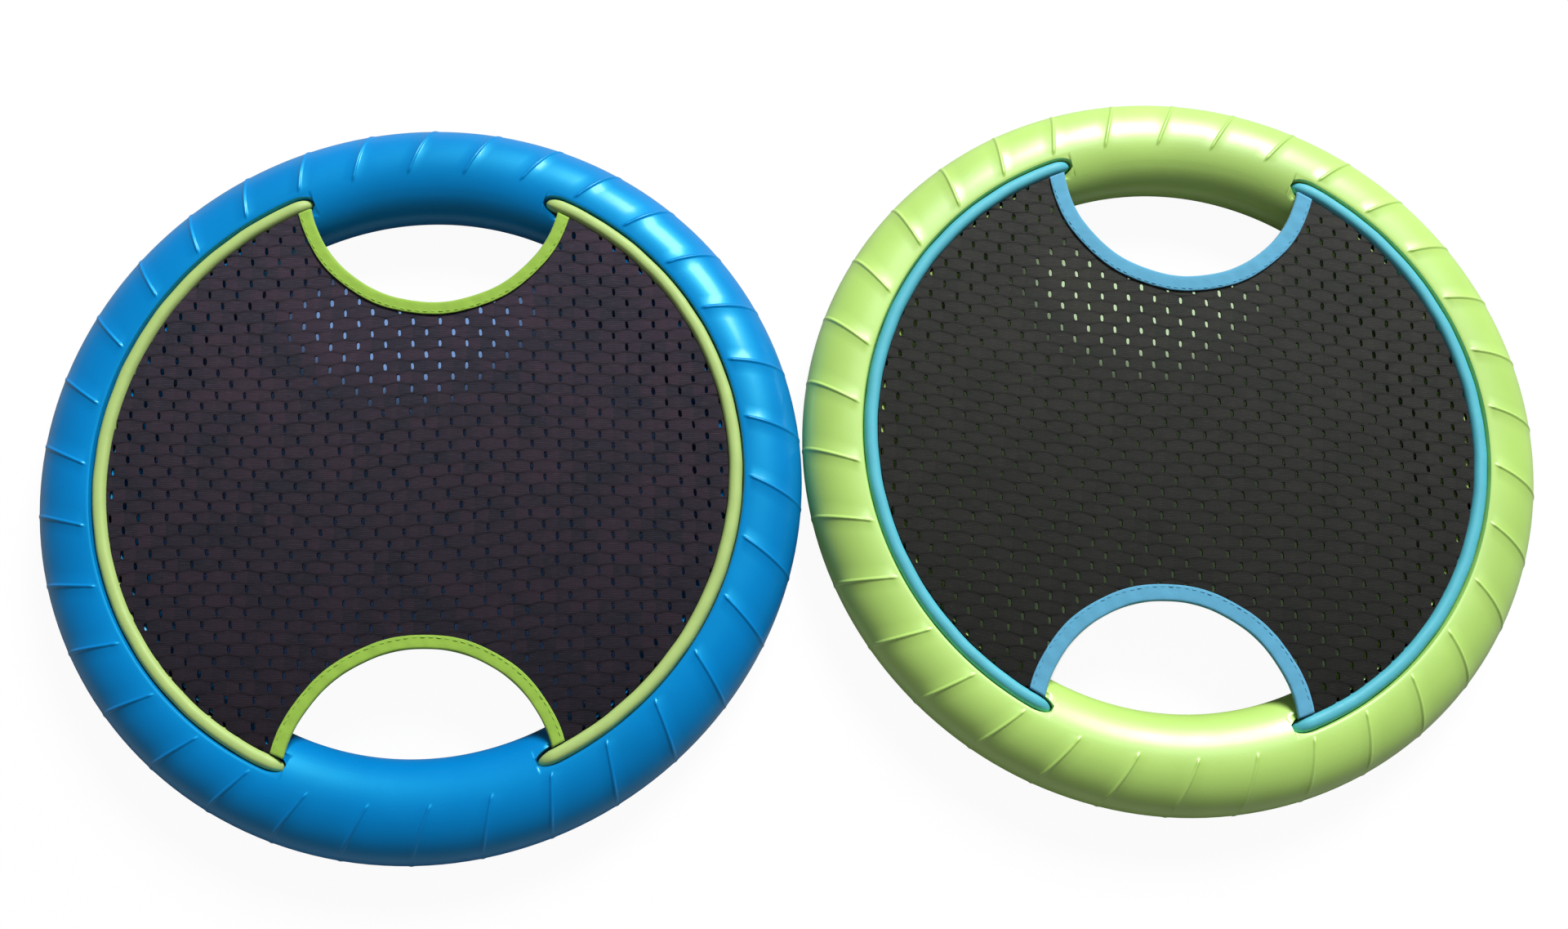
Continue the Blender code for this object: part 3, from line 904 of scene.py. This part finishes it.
class PADDLES_OT_nets(bpy.types.Operator):
    """Build the two knitted nets, holes and all"""

    bl_idname = "paddles.nets"
    bl_label = "Nets"

    def execute(self, context):
        paddles = context.scene.paddle_set
        for seed, colour in enumerate(COLOURS):
            look = getattr(paddles, colour)
            name = colour + "_knitted_net"
            # 0.6 is the strength of the painted shade along the creases.
            surface = knit_cloth(colour + "_knit", look.net_tint, look.patch_tint,
                                 look.yarn_tint, 0.6)
            mesh = net_mesh(paddles.sizes, look, name, seed)
            piece = place(context, name, colour, mesh, surface, [colour + "_net"])
            mesh.set_sharp_from_angle(angle=math.radians(30))
            thickness = piece.modifiers.new("thickness", "SOLIDIFY")
            thickness.thickness = paddles.sizes.net_thickness / 2
            thickness.offset = 0.0
        return {"FINISHED"}


# Tapes.

def tape_mesh(sizes, look, sign, name, phase):
    """Sweep the folded tape, rounded along its fold, with small puckers from the sewing."""
    half = sizes.net_thickness / 2
    near, far = look.tape_inner, look.tape_outer
    width = far - near
    top, under = half + sizes.gap + TAPE_CLOTH, half + sizes.gap
    outline = []
    for k in range(9):
        v = math.pi / 2 + math.pi * k / 8
        outline.append((near + top * 0.9 * (1 + math.cos(v)), top * math.sin(v), 0.3))
    outline += [(near + width * s, -top, 1.0) for s in (0.35, 0.55, 0.75, 0.92)]
    outline += [(far, -top + 0.10 * MM, 0.8), (far, -under, 0.8)]
    outline += [(near + width * 0.5, -under, 0.0), (near + 0.6 * MM, -under, 0.0)]
    outline += [(near + 0.6 * MM, under, 0.0), (near + width * 0.5, under, 0.0)]
    outline += [(far, under, 0.8), (far, top - 0.10 * MM, 0.8)]
    outline += [(near + width * s, top, 1.0) for s in (0.92, 0.75, 0.55, 0.35)]
    steps = 150
    points = []
    for i in range(steps + 1):
        share = 2 * i / steps - 1
        pucker = 0.10 * math.sin(i * 0.9 + phase) + 0.07 * math.sin(i * 0.47 + 2 * phase)
        for radius, height, soft in outline:
            turn = share * arc_spread(look, radius, sizes.net_radius - 0.05 * MM)
            lift = pucker * soft * MM * 0.8 * (1 if height > 0 else -1)
            stitch_dip = math.exp(-((radius - (far - STITCH_INSET)) / (0.5 * MM)) ** 2)
            drawn = height - math.copysign(0.10 * MM * stitch_dip * (soft > 0.5), height)
            wander = 0.12 * MM * math.sin(i * 0.23 + phase)
            z = sizes.net_height + drawn + lift
            points.append(tape_point(look, sign, radius + wander * (radius > near), turn, z))
    ring = len(outline)
    faces = grid_faces(steps + 1, ring)
    faces.append(tuple(range(ring)))
    faces.append(tuple(steps * ring + k for k in range(ring)))
    return mesh_from(name, points, faces)


def stitch_mesh(sizes, look, sign, name):
    """Lay a row of short stitches along the tape's sewn edge, on both faces."""
    radius = look.tape_outer - STITCH_INSET
    spread = arc_spread(look, radius, sizes.net_radius - 1.5 * MM)
    pitch = 3.1 * MM / radius
    count = int(2 * spread / pitch)
    height = sizes.net_thickness / 2 + sizes.gap + TAPE_CLOTH
    bm = bmesh.new()
    for face_side in (1, -1):
        for i in range(count):
            middle = (i - (count - 1) / 2) * pitch
            rings = []
            for k in range(7):
                along = (k / 3 - 1)
                turn = middle + along * 0.39 * pitch
                size = 0.20 * MM * max(0.35, math.sqrt(max(0.0, 1 - along ** 4)))
                sink = 0.28 * MM * along ** 4
                ring = []
                for j in range(6):
                    v = 2 * math.pi * j / 6
                    z = sizes.net_height + face_side * (height + 0.02 * MM - sink)
                    z += size * math.sin(v)
                    ring.append(bm.verts.new(
                        tape_point(look, sign, radius + size * math.cos(v), turn, z)))
                rings.append(ring)
            for first, second in zip(rings, rings[1:]):
                join_even(bm, first, second)
            bm.faces.new(rings[0])
            bm.faces.new(rings[-1])
    return closed_mesh(bm, name)


class PADDLES_OT_tapes(bpy.types.Operator):
    bl_idname = "paddles.tapes"
    bl_label = "Tapes"

    def execute(self, context):
        paddles = context.scene.paddle_set
        sizes = paddles.sizes
        for colour in COLOURS:
            look = getattr(paddles, colour)
            cloth = tape_cloth(colour + "_tape", look.tape_tint)
            thread = thread_cloth(colour + "_thread", look.tape_tint)
            hems = []
            for end, sign in ENDS.items():
                name = f"{colour}_{end}_binding"
                phase = 1.3 * sign + (0.7 if colour == "blue" else 2.1)
                mesh = tape_mesh(sizes, look, sign, name, phase)
                tape = place(context, name, colour, mesh, cloth, [f"{colour}_tape_{end}"])
                name = f"{colour}_{end}_stitches"
                mesh = stitch_mesh(sizes, look, sign, name)
                stitches = place(context, name, colour, mesh, thread, [])
                hems += [tape, stitches]
            net = bpy.data.objects.get(colour + "_knitted_net")
            if net is None:
                raise RuntimeError("The nets come before the tapes")
        return {"FINISHED"}


# Stage.

# The floor lies below the nets, so what shows through them is larger and farther back: scale
# of the painted light tint's arcs, their mean shift, and how much farther the far one goes than the
# mean.
TINT_SCALE = 1.046
TINT_RISE, TINT_PART = 7.6 * MM, 5.5 * MM
# World light on the pieces, where 1 is white, and its level where it is seen.
WORLD_LEVEL, WORLD_SEEN = 0.16, 1.0
WINDOW_PLACE, WINDOW_SIZE, WINDOW_POWER = (1.08, 2.32, 2.39), 1.25, 170
# Camera of the photograph: place above the rims' middle plane, turns about X, Y and Z, and
# focal length and picture width in pixels.
CAMERA_PLACE = (-0.04396, -0.16782, 0.64191)
CAMERA_TURNS = (0.2543, -0.0552, -0.0485)
FOCAL_PIXELS, PHOTO_WIDTH, SENSOR_WIDTH = 2019.6, 1920, 36.0


def pale_floor(paddles):
    """White floor with a pale shadow; under the nets it is painted with the tint of the light that
    the rims throw.
    """
    g = Graph("pale_floor")
    path = g.add("ShaderNodeLightPath")
    seen = path.outputs["Is Camera Ray"]
    covered = g.math("MULTIPLY", seen, 0.0)
    # Mask of the painted light: under each net, outside its openings' arcs.
    for colour in COLOURS:
        look = getattr(paddles, colour)
        seat = seat_of(paddles, colour)
        under = g.spread(g.distance(seat.to_translation()), 1, 0, 0.126, 0.132)
        for sign in ENDS.values():
            centre = seat @ tape_point(look, sign, 0.0, 0.0, 0.0)
            centre += Vector((look.rim_light_shift, TINT_RISE + TINT_PART * sign, 0))
            edge = TINT_SCALE * look.tape_inner
            outside = g.spread(g.distance(centre), 0, 1, edge, edge + 0.004)
            under = g.math("MULTIPLY", under, outside)
        covered = g.math("MAXIMUM", covered, under)
    parts = g.add("ShaderNodeSeparateXYZ")
    g.wire(g.place, parts.inputs[0])
    side = g.spread(parts.outputs["X"], 0, 1, -0.004, 0.004)
    # Painted light: under the nets the floor's colour stands for the coloured light that the rims
    # throw there.
    rim_light_paint = g.blend(side, paddles.blue.rim_light_tint, paddles.green.rim_light_tint)
    cloud = g.noise(0.8, 1)
    plain = g.blend(g.spread(cloud, 0, 1), (0.39, 0.39, 0.39), (0.42, 0.42, 0.42))
    base = g.blend(seen, plain, g.blend(covered, (0.05, 0.05, 0.05), rim_light_paint))
    glow = g.math("MULTIPLY", seen, g.spread(covered, 0.95, 0))
    g.wire(glow, g.shader.inputs["Emission Strength"])
    g.shader.inputs["Emission Color"].default_value = (1, 1, 1, 1)
    return g.finish(base, g.spread(cloud, 0.85, 0.9), None, Specular_IOR_Level=0.0)


def studio_world(scene):
    """Plain world light, white where the camera sees it."""
    world = bpy.data.worlds.new("studio")
    world.use_nodes = True
    nodes, links = world.node_tree.nodes, world.node_tree.links
    background = nodes["Background"]
    background.inputs["Color"].default_value = (1, 1, 1, 1)
    path = nodes.new("ShaderNodeLightPath")
    seen = nodes.new("ShaderNodeMath")
    seen.operation = "MAXIMUM"
    links.new(path.outputs["Is Camera Ray"], seen.inputs[0])
    links.new(path.outputs["Is Transmission Ray"], seen.inputs[1])
    level = nodes.new("ShaderNodeMapRange")
    level.inputs["To Min"].default_value = WORLD_LEVEL
    level.inputs["To Max"].default_value = WORLD_SEEN
    links.new(seen.outputs[0], level.inputs["Value"])
    links.new(level.outputs["Result"], background.inputs["Strength"])
    scene.world = world


def window_light(scene):
    """Add a square area lamp that looks at the origin."""
    data = bpy.data.lights.new("window", "AREA")
    data.shape = "SQUARE"
    data.size = WINDOW_SIZE
    data.energy = WINDOW_POWER
    lamp = bpy.data.objects.new("window", data)
    lamp.location = WINDOW_PLACE
    lamp.rotation_euler = (-Vector(WINDOW_PLACE)).to_track_quat("-Z", "Y").to_euler()
    scene.collection.objects.link(lamp)


def photo_camera(context):
    """Look at the pair from above and a little to the front, as the photograph does."""
    data = bpy.data.cameras.new("camera")
    data.sensor_width = SENSOR_WIDTH
    data.lens = SENSOR_WIDTH * FOCAL_PIXELS / PHOTO_WIDTH
    data.clip_start = 0.02
    camera = bpy.data.objects.new("camera", data)
    ground = ground_depth(context.scene.paddle_set.sizes)
    place_at = Matrix.Translation(Vector(CAMERA_PLACE) + Vector((0, 0, ground)))
    for turn, axis in zip(CAMERA_TURNS, "XYZ"):
        place_at = place_at @ Matrix.Rotation(turn, 4, axis)
    camera.matrix_world = place_at
    context.scene.collection.objects.link(camera)
    context.scene.camera = camera


class PADDLES_OT_stage(bpy.types.Operator):
    """Build the pale floor, the lamp and the camera"""

    bl_idname = "paddles.stage"
    bl_label = "Stage"

    def execute(self, context):
        scene = context.scene
        mesh = bpy.data.meshes.new("floor")
        reach = 6.0
        mesh.from_pydata([(-reach, -reach, 0), (reach, -reach, 0), (reach, reach, 0),
                          (-reach, reach, 0)], [], [(0, 1, 2, 3)])
        mesh.materials.append(pale_floor(scene.paddle_set))
        floor = bpy.data.objects.new("floor", mesh)
        scene.collection.objects.link(floor)
        studio_world(scene)
        window_light(scene)
        photo_camera(context)
        scene.view_settings.view_transform = "Standard"
        return {"FINISHED"}


class PADDLES_PT_panel(bpy.types.Panel):
    """Lists the sizes and the build steps"""

    bl_label = "Paddle Set"
    bl_idname = "PADDLES_PT_panel"
    bl_space_type = "VIEW_3D"
    bl_region_type = "UI"
    bl_category = "Paddles"

    def draw(self, context):
        layout = self.layout
        paddles = context.scene.paddle_set
        for step in STEPS:
            layout.operator(step.bl_idname)
        for group in (paddles.sizes, paddles.blue, paddles.green):
            box = layout.box()
            for key in group.__annotations__:
                box.prop(group, key)


STEPS = (PADDLES_OT_rims, PADDLES_OT_beads, PADDLES_OT_nets, PADDLES_OT_tapes, PADDLES_OT_stage)
CLASSES = (PaddleSizes, PaddleLook, PaddleSet) + STEPS + (PADDLES_PT_panel,)


def register():
    """Register the classes and hang the settings on the scene."""
    for item in CLASSES:
        bpy.utils.register_class(item)
    bpy.types.Scene.paddle_set = bpy.props.PointerProperty(type=PaddleSet)


def unregister():
    """Take the settings and the classes away again."""
    del bpy.types.Scene.paddle_set
    for item in reversed(CLASSES):
        bpy.utils.unregister_class(item)


def main():
    """Build everything."""
    register()
    settle_looks(bpy.context.scene.paddle_set)
    bpy.ops.paddles.rims()
    bpy.ops.paddles.beads()
    bpy.ops.paddles.nets()
    bpy.ops.paddles.tapes()
    bpy.ops.paddles.stage()


if __name__ == "__main__":
    main()
